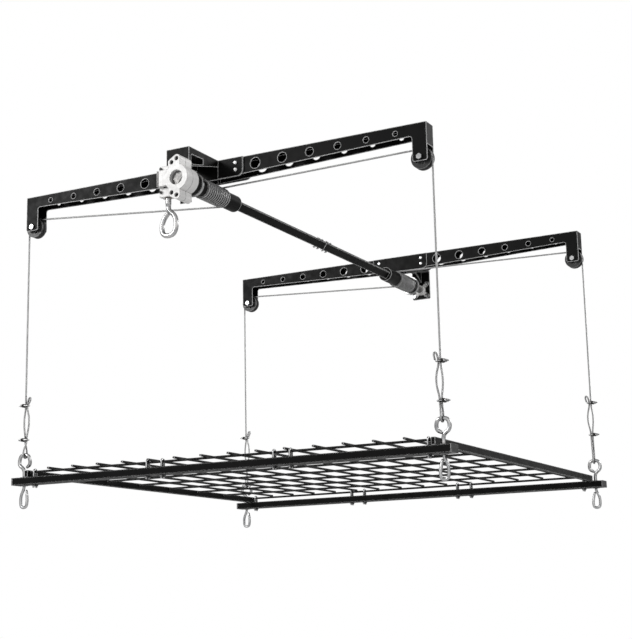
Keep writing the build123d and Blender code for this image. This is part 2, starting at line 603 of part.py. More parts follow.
def departure(side, end):
    """Where a cable leaves its drum: the left ones below it, the right ones above it."""
    last = DRUM_TURNS - 1
    turn = {(-1, -1): FRONT_DRUM_Y + last * DRUM_PITCH, (1, -1): FRONT_DRUM_Y + (last - 1) * DRUM_PITCH,
            (1, 1): REAR_DRUM_Y, (-1, 1): REAR_DRUM_Y + DRUM_PITCH}[side, end]
    return (SHAFT_X, turn, SHAFT_Z + side * DRUM_LINE_RADIUS)


def cable_run(side, end):
    """The fixed stretch of one cable, from where it is clear of its drum over its pulley."""
    x, y, z = departure(side, end)
    across = side * PULLEY_X - x
    down = math.atan2(PULLEY_Z - z, abs(across))
    rise = math.tan(down + math.asin(PULLEY_LINE_RADIUS / math.hypot(across, PULLEY_Z - z)))
    steer_x, steer_z = side * (PULLEY_X - 20), z + (abs(across) - 20) * rise
    corner_z = z + (abs(across) + PULLEY_LINE_RADIUS) * rise
    share = DRUM_CLEARANCE / (abs(across) - 20)
    start = (x + side * DRUM_CLEARANCE, y + share * (end * BEAM_Y - y), z + DRUM_CLEARANCE * rise)
    points = [start, (steer_x, end * BEAM_Y, steer_z), (side * CABLE_X, end * BEAM_Y, corner_z),
              (side * CABLE_X, end * BEAM_Y, PULLEY_Z)]
    return bent_rod(points, [60, PULLEY_LINE_RADIUS - 0.01], CABLE_RADIUS)


def cable_drop(name):
    """The free stretch of one cable, straight down from its pulley."""
    side, end = CORNERS[name]
    low = BAR_TOP + CLIPS[name][0] + CABLE_END_RISE
    return rod((side * CABLE_X, end * BEAM_Y, low), (side * CABLE_X, end * BEAM_Y, PULLEY_Z - 0.05),
               CABLE_RADIUS)


def corner_frame(name, x, y, z):
    """A point given from a hook's axis: x towards the middle, y across, z from the bar's top."""
    side, end = CORNERS[name]
    return (side * (CABLE_X - x), end * BEAM_Y + y, BAR_TOP + z)


def cable_end(name):
    """The end of one cable: down to the hook's eye, round it and back up through both clips."""
    upper, lower = CLIPS[name]
    reach = HOOK_EYE_ROD + CABLE_RADIUS + 0.15
    beside = CLIP_SPACING
    turn = EYE_TOP - reach
    outline = [(0, 0, upper + CABLE_END_RISE), (0, 0, lower), (1, reach, EYE_TOP + 12),
               (1, reach, turn), (1, -reach, turn), (1, -reach, EYE_TOP + 12), (beside, 0, lower),
               (beside + 3, 0, (upper + lower) / 2), (beside, 0, upper), (beside + 3, 0, upper + 14),
               (beside + 9, 0, upper + 16), (beside + 9, 0, upper + 6)]
    radii = [30, 20, reach - 0.01, reach - 0.01, 20, 30, 80, 40, 2.8, 3.5]
    return bent_rod([corner_frame(name, *point) for point in outline], radii, CABLE_RADIUS)


def clip(name, height):
    """One wire rope clip: a U-bolt round both stretches of cable, its saddle and its two nuts."""
    bend_x = CLIP_SPACING + 0.9
    points = [(-18, -CLIP_LEG_Y), (bend_x + CLIP_LEG_Y, -CLIP_LEG_Y), (bend_x + CLIP_LEG_Y, CLIP_LEG_Y),
              (-18, CLIP_LEG_Y)]
    radius = CLIP_LEG_Y - 0.01
    u_bolt = bent_rod([corner_frame(name, x, y, height) for x, y in points], [radius, radius],
                      CLIP_ROD_RADIUS)
    near, far = corner_frame(name, -CABLE_RADIUS - 0.1, 0, height), corner_frame(name, -9, 0, height)
    saddle = block((near[0], far[0]), (near[1] - 7.5, near[1] + 7.5), (near[2] - 4.5, near[2] + 4.5))
    saddle = fillet(saddle.edges().filter_by(Axis.X), 2.5)
    nuts = []
    for y in (-CLIP_LEG_Y, CLIP_LEG_Y):
        start, end = corner_frame(name, -2, y, height), corner_frame(name, -19, y, height)
        saddle -= rod(start, end, CLIP_ROD_RADIUS + 0.02)
        start, end = corner_frame(name, -9, y, height), corner_frame(name, -13.5, y, height)
        nuts.append(hexagon(start, end, 3.6) - rod(start, end, CLIP_ROD_RADIUS + 0.02))
    return [u_bolt, saddle, *nuts]


def hook(name):
    """A forged double hook: an eye for the cable, a stem through the bar and a loop below it."""
    low_stem = -BAR_HEIGHT - 8
    eye = [(0, 17), (17, 32), (14, EYE_TOP), (-14, EYE_TOP), (-17, 32)]
    loop = [(0, low_stem + 3), (7.5, low_stem - 18), (8.5, -80 + HOOK_RADIUS), (-8.5, -80 + HOOK_RADIUS),
            (-7.5, low_stem - 18)]
    lower = closed_rod(loop, [3.5, 20, 8, 8, 20], HOOK_LOOP_ROD)
    stem = rod((0, 0, low_stem - 3), (0, 0, 18), HOOK_RADIUS)
    shoulders = Pos(0, 0, 17) * Sphere(HOOK_SHOULDER) + Pos(0, 0, low_stem - 2) * Sphere(HOOK_SHOULDER)
    body = lower + (stem + shoulders) + closed_rod(eye, [7, 13, 13.9, 13.9, 13], HOOK_EYE_ROD)
    side, end = CORNERS[name]
    return Pos(side * CABLE_X, end * BEAM_Y, BAR_TOP) * body


# ---------------------------------------------------------------- deck


def deck_bar(end):
    """One rectangular tube under the deck, with holes for its hooks and U-bolts."""
    y = end * BEAM_Y
    half = BAR_HALF - CAP_THICKNESS
    z = (BAR_TOP - BAR_HEIGHT, BAR_TOP)
    bar = block((-half, half), (y - BAR_DEPTH / 2, y + BAR_DEPTH / 2), z)
    bar = fillet(bar.edges().filter_by(Axis.X), 2)
    inside = BAR_DEPTH / 2 - 2
    bar -= block((-half - 1, half + 1), (y - inside, y + inside), (z[0] + 2, z[1] - 2))
    for side in (-1, 1):
        x = side * CABLE_X
        bar -= rod((x, y, z[0] - 1), (x, y, z[1] + 1), HOOK_HOLE_RADIUS)
        for u_x in U_BOLT_X:
            for leg in (-U_BOLT_LEG_Y, U_BOLT_LEG_Y):
                spot = (side * u_x, y + leg)
                bar -= rod((*spot, z[0] - 1), (*spot, z[1] + 1), U_BOLT_RADIUS + 0.1)
    return bar


def bar_end_caps():
    """The four plugs that close the ends of the deck bars."""
    caps = []
    z = (BAR_TOP - BAR_HEIGHT, BAR_TOP)
    for side, end in CORNERS.values():
        y = end * BEAM_Y
        edge, seat, tip = side * BAR_HALF, side * (BAR_HALF - CAP_THICKNESS), side * (BAR_HALF - 12)
        plate = block((seat, edge), (y - BAR_DEPTH / 2, y + BAR_DEPTH / 2), z)
        inside = BAR_DEPTH / 2 - 2.05
        caps.append(plate + block((tip, seat), (y - inside, y + inside), (z[0] + 2.05, z[1] - 2.05)))
    return caps


def side_rail(side):
    """One flat rail along the deck's side, resting on both bars."""
    x = (side * RAIL_X[0], side * RAIL_X[1])
    rail = block(x, (-RAIL_HALF, RAIL_HALF), (BAR_TOP, BAR_TOP + 18))
    return fillet(rail.edges().filter_by(Axis.Y), 1.5)


def cross_wires():
    """The lower wires, along X, between the side rails."""
    reach = RAIL_X[0]
    return [rod((-reach, side * y, CROSS_WIRE_Z), (reach, side * y, CROSS_WIRE_Z), WIRE_RADIUS)
            for y in CROSS_WIRE_Y for side in (-1, 1)]


def long_wires():
    """The upper wires, along Y, on top of the cross wires."""
    wires = []
    for i in range(14):
        x = (i - 6.5) * WIRE_PITCH
        wires.append(rod((x, -RAIL_HALF, LONG_WIRE_Z), (x, RAIL_HALF, LONG_WIRE_Z), WIRE_RADIUS))
    return wires


def deck_u_bolts():
    """Twelve U-bolts that clamp the outer cross wires down on the bars."""
    bolts = []
    tip = BAR_TOP - BAR_HEIGHT - 8
    leg = U_BOLT_LEG_Y
    for end in (-1, 1):
        for x in [side * u_x for u_x in U_BOLT_X for side in (-1, 1)]:
            points = [(x, end * BEAM_Y + y, z) for y, z in
                      ((-leg, tip), (-leg, U_BOLT_TOP), (leg, U_BOLT_TOP), (leg, tip))]
            bolts.append(bent_rod(points, [leg - 0.01, leg - 0.01], U_BOLT_RADIUS))
    return bolts


def u_bolt_nuts():
    """The nuts under the bars, two for each U-bolt."""
    nuts = []
    z = BAR_TOP - BAR_HEIGHT
    for end in (-1, 1):
        for x in [side * u_x for u_x in U_BOLT_X for side in (-1, 1)]:
            for y in (end * BEAM_Y - U_BOLT_LEG_Y, end * BEAM_Y + U_BOLT_LEG_Y):
                nut = hexagon((x, y, z - 4), (x, y, z), 4.9)
                nuts.append(nut - rod((x, y, z - 4), (x, y, z), U_BOLT_RADIUS + 0.02))
    return nuts


def wire_saddles():
    """Blocks between the bars and the outer cross wires, under each U-bolt."""
    blocks = []
    for end in (-1, 1):
        for x in [side * u_x for u_x in U_BOLT_X for side in (-1, 1)]:
            y = end * BEAM_Y
            blocks.append(block((x - 4, x + 4), (y - 2.9, y + 2.9), (BAR_TOP, CROSS_WIRE_Z - WIRE_RADIUS)))
    return blocks


# ---------------------------------------------------------------- all the nodes

os.makedirs("parts", exist_ok=True)

right = right_arm()
left = mirror(right, about=Plane.YZ)
sleeve = mid_channel()
rear_right = Pos(0, BEAM_Y, 0) * right
rear_sleeve = Pos(0, BEAM_Y, 0) * sleeve
for rivet_x in REAR_TAB_RIVETS_X:
    hole = rod((rivet_x, BEAM_Y + 10, REAR_TAB_RIVET_Z), (rivet_x, BEAM_Y + 30, REAR_TAB_RIVET_Z),
               RIVET_RADIUS)
    rear_right -= hole
    rear_sleeve -= hole
save("front_left_arm", Pos(0, -BEAM_Y, 0) * left)
save("front_right_arm", Pos(0, -BEAM_Y, 0) * right)
save("rear_left_arm", Pos(0, BEAM_Y, 0) * left)
save("rear_right_arm", rear_right)
save("front_mid_channel", Pos(0, -BEAM_Y, 0) * sleeve)
save("rear_mid_channel", rear_sleeve)
save("frame_rivets", frame_rivets() + rear_bracket_rivets())
save("gearbox_bracket", gearbox_bracket())
save("rear_bearing_bracket", rear_bearing_bracket())

save("gearbox_front_cover", gearbox_front_cover())
save("gearbox_rear_housing", gearbox_rear_housing())
save("gearbox_screws", gearbox_screws())
save("worm_bushes", worm_bushes())
save("worm_wheel", worm_wheel())
save("worm", worm())
save("crank_eye", crank_eye())

save("drive_stub", prism(GEARBOX_FRONT_Y + 7, -640, Rectangle(STUB_SIDE, STUB_SIDE), TUBE_TURN))
front_tube, rear_tube = square_tube(HUB_START, TUBE_JOINT_Y - 0.5), square_tube(TUBE_JOINT_Y + 0.5, 590)
coupler = prism(TUBE_JOINT_Y - 50, TUBE_JOINT_Y + 50,
                Rectangle(STUB_SIDE, STUB_SIDE) - Rectangle(STUB_SIDE - 4, STUB_SIDE - 4), TUBE_TURN)
for hole in coupler_holes():
    front_tube -= hole
    rear_tube -= hole
    coupler -= hole
save("front_tube", front_tube)
save("rear_tube", rear_tube)
save("tube_coupler", coupler)
save("coupler_bolts", coupler_bolts())
save("front_hub", ring(HUB_START, FRONT_FLANGE[0], FLANGE_RADIUS - 2))
save("drum_flanges", [ring(*FRONT_FLANGE, FLANGE_RADIUS), ring(*REAR_FLANGE, FLANGE_RADIUS)])
save("front_drum", drum(FRONT_FLANGE[1], FRONT_COLLAR_END, FRONT_DRUM_Y))
save("wound_cables", wound_cable(FRONT_DRUM_Y) + wound_cable(REAR_DRUM_Y))
save("rear_drum", drum(REAR_COLLAR_START, REAR_FLANGE[0], REAR_DRUM_Y))
save("rear_axle", rear_axle())
save("rear_snap_ring", snap_ring())
save("rear_bearing", rear_bearing())
save("rear_bearing_bolts", rear_bearing_bolts())

save("pulley_axles", pulley_axles())
save("pulley_nuts", pulley_nuts())
save("cable_runs", [cable_run(side, end) for side, end in CORNERS.values()])
save("cable_drops", [cable_drop(name) for name in CORNERS])
for corner, (side_x, end_side) in CORNERS.items():
    save(f"{corner}_pulley", pulley(side_x, end_side))
    save(f"{corner}_hook", hook(corner))
    save(f"{corner}_cable_end", cable_end(corner))
    save(f"{corner}_clips", [piece for height in CLIPS[corner] for piece in clip(corner, height)])

save("front_bar", deck_bar(-1))
save("rear_bar", deck_bar(1))
save("bar_end_caps", bar_end_caps())
save("left_side_rail", side_rail(-1))
save("right_side_rail", side_rail(1))
save("cross_wires", cross_wires())
save("long_wires", long_wires())
save("deck_u_bolts", deck_u_bolts())
save("u_bolt_nuts", u_bolt_nuts())
save("wire_saddles", wire_saddles())
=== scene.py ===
import json
import math

import bpy
import numpy as np
from mathutils import Matrix, Vector


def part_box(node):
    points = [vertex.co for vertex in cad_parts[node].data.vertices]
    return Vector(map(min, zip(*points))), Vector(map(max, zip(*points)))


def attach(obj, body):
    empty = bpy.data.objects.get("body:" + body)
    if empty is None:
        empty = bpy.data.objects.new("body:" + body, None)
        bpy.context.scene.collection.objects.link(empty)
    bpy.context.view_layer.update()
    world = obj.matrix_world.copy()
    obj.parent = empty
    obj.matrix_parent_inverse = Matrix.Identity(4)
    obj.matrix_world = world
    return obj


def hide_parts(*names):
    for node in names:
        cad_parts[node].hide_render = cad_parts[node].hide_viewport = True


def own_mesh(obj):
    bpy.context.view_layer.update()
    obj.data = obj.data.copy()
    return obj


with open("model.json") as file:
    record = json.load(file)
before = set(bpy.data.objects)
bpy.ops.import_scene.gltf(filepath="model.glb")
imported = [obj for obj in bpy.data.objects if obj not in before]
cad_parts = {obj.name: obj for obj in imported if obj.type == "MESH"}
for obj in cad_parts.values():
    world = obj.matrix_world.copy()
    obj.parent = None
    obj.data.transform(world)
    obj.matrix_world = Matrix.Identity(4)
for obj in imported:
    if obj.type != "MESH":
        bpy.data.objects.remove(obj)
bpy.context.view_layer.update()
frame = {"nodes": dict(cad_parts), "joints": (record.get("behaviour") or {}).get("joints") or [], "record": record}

# The looks of a ceiling-mounted cable lift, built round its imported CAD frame. Metres, in the CAD frame:
# +X along the cross-beams, +Y along the drive shaft, +Z up, origin in the ceiling plane.

CORNERS = {"front_left": (-1, -1), "front_right": (1, -1), "rear_left": (-1, 1), "rear_right": (1, 1)}

CABLE_RADIUS = 0.0024
PULLEY_LINE_RADIUS = 0.024  # from a pulley's axis to the cable's centre
DRUM_LINE_RADIUS = 0.0225  # from the shaft's axis to the centre of the wound cable
DRUM_PITCH = 0.0083
DRUM_TURNS = 12
FIRST_TURN = {-1: -0.648, 1: 0.461}  # the depth of each drum's first turn of cable
HOOK_ROD_RADIUS = 0.0046
HOOK_LOOP_RADIUS = 0.0038
HOOK_EYE_TOP = 0.0585  # the centre of the eye's rod at its top, above the deck bar
WASHER_HEIGHT = 0.0016
CLIP_SPACING = 0.005  # between the two stretches of cable in a clip
CLIP_ROD_RADIUS = 0.0018
NUT_RADIUS = 0.0036
CLIP_HEIGHTS = {"front_left": (0.187, 0.098), "front_right": (0.187, 0.098),
                "rear_left": (0.212, 0.118), "rear_right": (0.227, 0.134)}

JOINTS = {joint["name"]: joint for joint in frame["joints"]}
SHAFT_X, _, SHAFT_Z = JOINTS["shaft_turn"]["pos_m"]
WORM_X, WORM_Y, _ = JOINTS["crank_turn"]["pos_m"]
BAR_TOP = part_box("front_bar")[1].z
BAR_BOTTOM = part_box("front_bar")[0].z


# ---------------------------------------------------------------- camera

CAMERA_PLACE = Vector((1.7764, -3.3997, -1.0964))
CAMERA_HEADING = math.radians(-27.857)  # from +Y, positive towards +X
CAMERA_RISE = math.radians(11.786)
CAMERA_ROLL = math.radians(-1.192)
CAMERA_LENS = 79.27  # on a 36 mm sensor along the picture's longer side


def add_camera():
    """The camera at the viewing angle: low, in front and to the right, looking up at the beams."""
    ahead = Vector((math.sin(CAMERA_HEADING) * math.cos(CAMERA_RISE),
                    math.cos(CAMERA_HEADING) * math.cos(CAMERA_RISE), math.sin(CAMERA_RISE)))
    level = Vector((math.cos(CAMERA_HEADING), -math.sin(CAMERA_HEADING), 0))
    upright = level.cross(ahead)
    right = math.cos(CAMERA_ROLL) * level + math.sin(CAMERA_ROLL) * upright
    up = right.cross(ahead)
    data = bpy.data.cameras.new("camera")
    data.sensor_width = 36
    data.lens = CAMERA_LENS
    data.clip_end = 100
    camera = bpy.data.objects.new("camera", data)
    camera.matrix_world = Matrix.Translation(CAMERA_PLACE) @ Matrix((right, up, -ahead)).transposed().to_4x4()
    bpy.context.scene.collection.objects.link(camera)
    bpy.context.scene.camera = camera


add_camera()


# ---------------------------------------------------------------- materials

class Finish:
    """A material under construction: its nodes, links and object coordinates."""

    def __init__(self, name):
        self.material = bpy.data.materials.new(name)
        self.material.use_nodes = True
        self.nodes = self.material.node_tree.nodes
        self.links = self.material.node_tree.links
        self.shader = self.nodes["Principled BSDF"]
        self.place = self.nodes.new("ShaderNodeTexCoord").outputs["Object"]

    def node(self, kind, inputs=None, **settings):
        made = self.nodes.new(kind)
        for key, value in settings.items():
            setattr(made, key, value)
        for key, value in (inputs or {}).items():
            if isinstance(value, bpy.types.NodeSocket):
                self.links.new(value, made.inputs[key])
            else:
                made.inputs[key].default_value = value
        return made

    def noise(self, scale, detail=3.0, stretch=(1, 1, 1)):
        """Noise whose grains are about 1 / scale metres, stretched along an axis."""
        spread = self.node("ShaderNodeMapping", {"Vector": self.place, "Scale": stretch})
        grains = {"Vector": spread.outputs["Vector"], "Scale": scale, "Detail": detail}
        return self.node("ShaderNodeTexNoise", grains).outputs["Fac"]

    def span(self, value, low, high, start=0.3, end=0.7):
        """Maps start..end of a value to low..high."""
        inputs = {"Value": value, "From Min": start, "From Max": end, "To Min": low, "To Max": high}
        return self.node("ShaderNodeMapRange", inputs).outputs["Result"]

    def mix(self, share, first, second):
        made = self.node("ShaderNodeMix", data_type="RGBA")
        for socket, value in ((made.inputs[0], share), (made.inputs[6], first), (made.inputs[7], second)):
            if isinstance(value, bpy.types.NodeSocket):
                self.links.new(value, socket)
            else:
                socket.default_value = value
        return made.outputs[2]

    def edges(self, radius, start=0.02, end=0.16):
        """How close a spot is to a sharp edge, broken up by a little noise."""
        rounded = self.node("ShaderNodeBevel", {"Radius": radius}, samples=6).outputs["Normal"]
        flat = self.node("ShaderNodeNewGeometry").outputs["Normal"]
        alike = self.node("ShaderNodeVectorMath", {0: rounded, 1: flat}, operation="DOT_PRODUCT")
        bent = self.node("ShaderNodeMath", {0: 1.0, 1: alike.outputs["Value"]}, operation="SUBTRACT")
        # Noise that breaks the edge mask into patches. The mask carries pale painted highlights, and dark lines,
        # along sharp edges.
        edge_breakup = self.span(self.noise(240), 0.45, 1.0)
        sharp = self.span(bent.outputs[0], 0.0, 1.0, start, end)
        return self.node("ShaderNodeMath", {0: sharp, 1: edge_breakup}, operation="MULTIPLY").outputs[0]

    def shelter(self, reach, start=0.45, end=0.85):
        """0 in narrow gaps and corners, 1 on open faces: a mask for painted shade."""
        openness = self.node("ShaderNodeAmbientOcclusion", {"Distance": reach}, samples=6).outputs["AO"]
        return self.span(openness, 0.0, 1.0, start, end)

    def colour(self, value):
        self.links.new(value, self.shader.inputs["Base Color"])

    def roughness(self, value):
        self.links.new(value, self.shader.inputs["Roughness"])

    def bump(self, height, distance, strength=0.4):
        made = self.node("ShaderNodeBump", {"Height": height, "Distance": distance, "Strength": strength})
        self.links.new(made.outputs["Normal"], self.shader.inputs["Normal"])


def grey(level, warmth=0.0):
    """A near-neutral colour, a touch warmer or cooler."""
    return (level * (1 + warmth), level, level * (1 - warmth), 1)


def black_powder_coat():
    """Satin black powder coat with orange peel, faint dust and pale lines along its sharp edges: a painted
    highlight, partly meant as wear.
    """
    made = Finish("black_powder_coat")
    patches = made.span(made.noise(14, 5), 0, 1)
    coat = made.mix(patches, grey(0.002), grey(0.005, 0.02))
    # Pale grey along sharp edges: a painted edge highlight, partly also wear of the coat.
    made.colour(made.mix(made.edges(0.0032, 0.02, 0.09), coat, grey(0.85)))
    made.roughness(made.span(made.noise(55), 0.34, 0.5))
    made.shader.inputs["Specular IOR Level"].default_value = 0.09
    made.bump(made.noise(900, 2), 0.0003, 0.25)
    return made.material


def cast_aluminium():
    """Pale die-cast metal with a fine grain, near black along its sharp edges and seams."""
    made = Finish("cast_aluminium")
    grain = made.mix(made.span(made.noise(30, 6), 0, 1), grey(0.66, 0.01), grey(0.82, 0.01))
    # Near black along sharp edges and seams.
    made.colour(made.mix(made.edges(0.0028, 0.03, 0.13), grain, grey(0.02, 0.05)))
    made.roughness(made.span(made.noise(120), 0.38, 0.58))
    made.shader.inputs["Metallic"].default_value = 0.2
    made.bump(made.noise(1300, 4), 0.0004, 0.45)
    return made.material


def zinc_plate():
    """Bright zinc with faint clouding and drawing marks, painted shade in its corners and dark lines along its
    sharp edges.
    """
    made = Finish("zinc_plate")
    clouds = made.mix(made.span(made.noise(60, 5), 0, 1), grey(0.44, -0.02), grey(0.66, 0.01))
    # Near black in narrow gaps and corners: painted shade.
    corner_shade = made.mix(made.shelter(0.006), grey(0.02), clouds)
    # Dark along sharp edges.
    made.colour(made.mix(made.edges(0.0016), corner_shade, grey(0.05)))
    made.roughness(made.span(made.noise(200), 0.16, 0.34))
    made.shader.inputs["Metallic"].default_value = 0.95
    made.shader.inputs["Specular Tint"].default_value = grey(0.05)
    made.bump(made.noise(700, 3, (1, 1, 0.15)), 0.0002, 0.3)
    return made.material


def dark_clip():
    """Blackened iron with a rough cast skin and pale edges, a painted highlight."""
    made = Finish("dark_clip")
    skin = made.mix(made.span(made.noise(300, 4), 0, 1), grey(0.012), grey(0.035, 0.05))
    # Pale grey along sharp edges: a painted edge highlight.
    made.colour(made.mix(made.edges(0.0006), skin, grey(0.55)))
    made.roughness(made.span(made.noise(500), 0.4, 0.65))
    made.shader.inputs["Metallic"].default_value = 0.6
    made.bump(made.noise(1500, 4), 0.0003, 0.6)
    return made.material


def wire_rope():
    """Galvanised strands, with painted shade between them and between neighbouring turns."""
    made = Finish("wire_rope")
    strand_tone = made.mix(made.span(made.noise(350, 4), 0, 1), grey(0.46), grey(0.74))
    # Near black where the rope is hemmed in, between strands and between turns on a drum: painted shade.
    made.colour(made.mix(made.shelter(0.010, 0.5, 0.85), grey(0.008), strand_tone))
    made.roughness(made.span(made.noise(420), 0.28, 0.5))
    made.shader.inputs["Metallic"].default_value = 0.8
    made.shader.inputs["Specular Tint"].default_value = grey(0.05)
    made.bump(made.noise(2600, 2), 0.0002, 0.5)
    return made.material


def pulley_nylon():
    """Black moulded nylon, smooth in the groove, with pale rims: a painted highlight."""
    made = Finish("pulley_nylon")
    skin = made.mix(made.span(made.noise(90, 4), 0, 1), grey(0.008), grey(0.02))
    # Pale grey along sharp edges and rims: a painted highlight.
    made.colour(made.mix(made.edges(0.0012), skin, grey(0.5)))
    made.roughness(made.span(made.noise(150), 0.3, 0.46))
    made.bump(made.noise(1800, 2), 0.0002, 0.25)
    return made.material


def gear_steel():
    """Plain machined steel with turning marks."""
    made = Finish("gear_steel")
    tone = made.mix(made.span(made.noise(80, 4), 0, 1), grey(0.10), grey(0.26, 0.03))
    # Pale grey along sharp edges: a painted edge highlight.
    made.colour(made.mix(made.edges(0.0008), tone, grey(0.7)))
    made.roughness(made.span(made.noise(400, 2, (1, 6, 1)), 0.3, 0.5))
    made.shader.inputs["Metallic"].default_value = 0.85
    made.bump(made.noise(900, 2, (1, 8, 1)), 0.0002, 0.4)
    return made.material


def bronze_bush():
    """Oil-darkened sintered bronze."""
    made = Finish("bronze_bush")
    made.colour(made.mix(made.span(made.noise(500, 4), 0, 1), (0.22, 0.12, 0.05, 1), (0.48, 0.30, 0.13, 1)))
    made.roughness(made.span(made.noise(300), 0.35, 0.55))
    made.shader.inputs["Metallic"].default_value = 0.9
    made.bump(made.noise(2200, 3), 0.0002, 0.5)
    return made.material


def cap_plastic():
    """Black moulded plastic with a fine spark-eroded texture."""
    made = Finish("cap_plastic")
    skin = made.mix(made.span(made.noise(120, 4), 0, 1), grey(0.009), grey(0.018))
    # Pale grey along sharp edges: a painted edge highlight.
    made.colour(made.mix(made.edges(0.001), skin, grey(0.4)))
    made.roughness(made.span(made.noise(260), 0.42, 0.58))
    made.bump(made.noise(2400, 2), 0.0002, 0.5)
    return made.material


FINISHES = {make.__name__: make() for make in (black_powder_coat, cast_aluminium, zinc_plate, dark_clip,
                                               wire_rope, pulley_nylon, gear_steel, bronze_bush, cap_plastic)}

for subpart in frame["record"]["subparts"]:
    carried = frame["nodes"][subpart["node"]]
    finish = FINISHES[subpart["material_slot"]]
    if not carried.material_slots:
        carried.data.materials.append(finish)
    for holder in carried.material_slots:
        holder.material = finish


# ---------------------------------------------------------------- swept pieces

def distances(line):
    """How far along a line each of its points is."""
    return np.concatenate([[0], np.cumsum(np.linalg.norm(np.diff(line, axis=0), axis=1))])


def spaced(points, step):
    """The points of a line again, at equal distances along it."""
    line = np.array([tuple(point) for point in points])
    along = distances(line)
    at = np.linspace(0, along[-1], max(3, round(along[-1] / step) + 1))
    return np.column_stack([np.interp(at, along, line[:, k]) for k in range(3)])


def smooth_line(points):
    """The points along the smooth spline that has the given control points."""
    curve = bpy.data.curves.new("route", "CURVE")
    curve.dimensions = "3D"
    curve.resolution_u = 16
    spline = curve.splines.new("NURBS")
    spline.points.add(len(points) - 1)
    for control, point in zip(spline.points, points):
        control.co = (*point, 1)
    spline.order_u = 3
    spline.use_endpoint_u = True
    holder = bpy.data.objects.new("route", curve)
    mesh = bpy.data.meshes.new_from_object(holder)
    line = [vertex.co.copy() for vertex in mesh.vertices]
    bpy.data.objects.remove(holder)
    bpy.data.curves.remove(curve)
    bpy.data.meshes.remove(mesh)
    return line


def ring_faces(rings, count):
    """Faces between rings of count vertices each, with a closed end on the first and the last."""
    faces = []
    for i in range(rings - 1):
        near, far = i * count, (i + 1) * count
        faces += [(near + k, near + (k + 1) % count, far + (k + 1) % count, far + k) for k in range(count)]
    last = (rings - 1) * count
    return faces + [tuple(reversed(range(count))), tuple(range(last, last + count))]


def swept_mesh(line, radii, profile, turns_per_metre=0.0):
    """Vertices and faces of a profile swept along a line. radii scales it at each point of the line."""
    ahead = np.gradient(line, axis=0)
    ahead /= np.linalg.norm(ahead, axis=1)[:, None]
    side = np.cross(ahead[0], (0.31, 0.87, 0.38))
    along = distances(line)
    count = len(profile)
    angles = np.arange(count) * 2 * math.pi / count
    rings = []
    for i, point in enumerate(line):
        side = side - ahead[i] * np.dot(side, ahead[i])
        side /= np.linalg.norm(side)
        across = np.cross(ahead[i], side)
        turned = angles + along[i] * turns_per_metre * 2 * math.pi
        reach = radii[i] * np.array(profile)
        rings.append(point + np.outer(reach * np.cos(turned), side) + np.outer(reach * np.sin(turned), across))
    return np.concatenate(rings), ring_faces(len(line), count)


def piece(name, parts, slot, body, *nodes):
    """One object from several (vertices, faces), finished as its slot, riding on a body for its nodes."""
    vertices, faces = [], []
    for some_vertices, some_faces in parts:
        start = sum(len(group) for group in vertices)
        vertices.append(some_vertices)
        faces += [tuple(corner + start for corner in face) for face in some_faces]
    mesh = bpy.data.meshes.new(name)
    mesh.from_pydata(np.concatenate(vertices).tolist(), [], faces)
    mesh.polygons.foreach_set("use_smooth", [len(face) == 4 for face in faces])
    mesh.materials.append(FINISHES[slot])
    made = bpy.data.objects.new(name, mesh)
    bpy.context.scene.collection.objects.link(made)
    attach(made, body)
    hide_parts(*nodes)
    return made


STRANDS = 6
STRAND_RADIUS = CABLE_RADIUS / 3
ROPE_LAY = 0.026  # the length in which a strand goes once round
ROPE_STEP = 0.0018


def rope_profile():
    """The outline of six strands lying together, as shares of the rope's radius."""
    outline = []
    for i in range(STRANDS * 4):
        off = math.radians((i % 4) * 15 - 30)
        centre = 2 * STRAND_RADIUS
        reach = centre * math.cos(off) + math.sqrt(max(0, STRAND_RADIUS ** 2 - (centre * math.sin(off)) ** 2))
        outline.append(reach / CABLE_RADIUS)
    return outline


ROPE_PROFILE = rope_profile()


def rope_mesh(points):
    """A laid wire rope along a line."""
    line = spaced(points, ROPE_STEP)
    return swept_mesh(line, np.full(len(line), CABLE_RADIUS), ROPE_PROFILE, 1 / ROPE_LAY)


ROD_STEP = 0.0012


def rod_mesh(points, radius, taper, taper_length):
    """A round rod along a line, which narrows over its last stretch and has a domed end."""
    line = spaced(points, ROD_STEP)
    along = distances(line)
    left = along[-1] - along
    radii = radius * (taper + (1 - taper) * np.clip(left / taper_length, 0, 1))
    dome = radii[-1]
    near = left < dome
    radii[near] *= np.sqrt(np.clip(1 - (1 - left[near] / dome) ** 2, 0.02, 1))
    return swept_mesh(line, radii, [1.0] * 20)


def ring_mesh(x, y, outline):
    """A piece turned about the upright line at x, y. outline holds (radius, height) corners."""
    count, sides = len(outline), 28
    vertices = [(x + r * math.cos(2 * math.pi * i / sides), y + r * math.sin(2 * math.pi * i / sides), z)
                for i in range(sides) for r, z in outline]
    faces = []
    for i in range(sides):
        j = (i + 1) % sides
        for k in range(count):
            m = (k + 1) % count
            faces.append((i * count + k, j * count + k, j * count + m, i * count + m))
    return np.array(vertices), faces


# ---------------------------------------------------------------- cables

def corner_point(corner, inward, across, height):
    """A point given from a hook's axis: towards the middle, along Y, and up from the deck bar."""
    side, _ = CORNERS[corner]
    x, y, _ = JOINTS[f"{corner}_hook_swivel"]["pos_m"]
    return Vector((x - side * inward, y + across, BAR_TOP + height))


def drum_turns(end):
    """The depths of a drum's turns of cable, from the one nearest the front."""
    return [FIRST_TURN[end] + i * DRUM_PITCH for i in range(DRUM_TURNS)]


def departure(side, end):
    """Where a cable leaves its drum: the left ones below it, the right ones above it."""
    turns = drum_turns(end)
    turn = {(-1, -1): turns[-1], (1, -1): turns[-2], (1, 1): turns[0], (-1, 1): turns[1]}[side, end]
    return Vector((SHAFT_X, turn, SHAFT_Z + side * DRUM_LINE_RADIUS))


